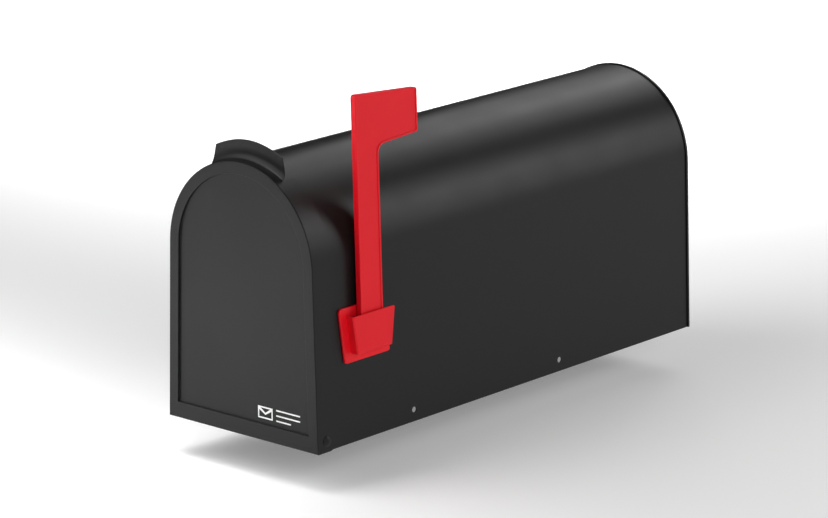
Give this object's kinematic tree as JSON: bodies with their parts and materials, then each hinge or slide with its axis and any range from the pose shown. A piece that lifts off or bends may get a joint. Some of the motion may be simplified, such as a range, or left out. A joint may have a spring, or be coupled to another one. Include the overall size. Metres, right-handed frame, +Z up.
{
  "type": "rural mailbox",
  "caption": "Half-round steel rural mailbox with a drop-down door, a magnetic catch and a red signal flag, made to sit on a board on a post.",
  "frame": {"origin": "middle of the seat for the mounting board, on the floor's underside, midway between the front and rear screw holes", "axes": "+X to the flag's side, +Y from the door to the back, +Z up"},
  "size_m": [0.1731, 0.4854, 0.2844],
  "materials": {
    "powder_coat": "satin black powder coat on sheet steel",
    "zinc_plate": "bright zinc plate",
    "black_zinc": "black painted rivet",
    "ferrite": "sintered ferrite, dull",
    "black_abs": "fine moulded grain",
    "black_rubber": "matt",
    "nylon": "plain black nylon",
    "white_print": "screen print",
    "red_abs": "semi-gloss moulding"
  },
  "bodies": {
    "box": {"body_shell": "powder_coat", "floor_panel": "powder_coat", "floor_side_flanges": "powder_coat", "floor_end_flanges": "powder_coat", "rear_panel": "powder_coat", "catch_bracket": "zinc_plate", "catch_housing": "black_abs", "catch_magnet": "ferrite", "catch_pole_plates": "zinc_plate", "catch_screws": "zinc_plate", "catch_rivets": "black_zinc", "hinge_rivets": "black_zinc", "hinge_washers": "nylon", "flag_plate": "red_abs", "flag_cover": "red_abs", "flag_screws": "zinc_plate", "flag_screw_washers": "zinc_plate", "flag_friction_washer": "black_rubber"},
    "door": {"door_panel": "powder_coat", "door_buffers": "black_rubber", "door_mark": "white_print"},
    "flag": {"flag_arm": "red_abs"}
  },
  "joints": [
    {"name": "door_hinge", "type": "hinge", "parent": "box", "child": "door", "pos_m": [0, -0.20065, -0.0108], "axis": [1, 0, 0], "range_deg": [0, 95]},
    {"name": "flag_pivot", "type": "hinge", "parent": "box", "child": "flag", "pos_m": [0.07833, -0.14935, 0.0702], "axis": [-0.9996, 0, -0.0297], "range_deg": [0, 90]}
  ]
}
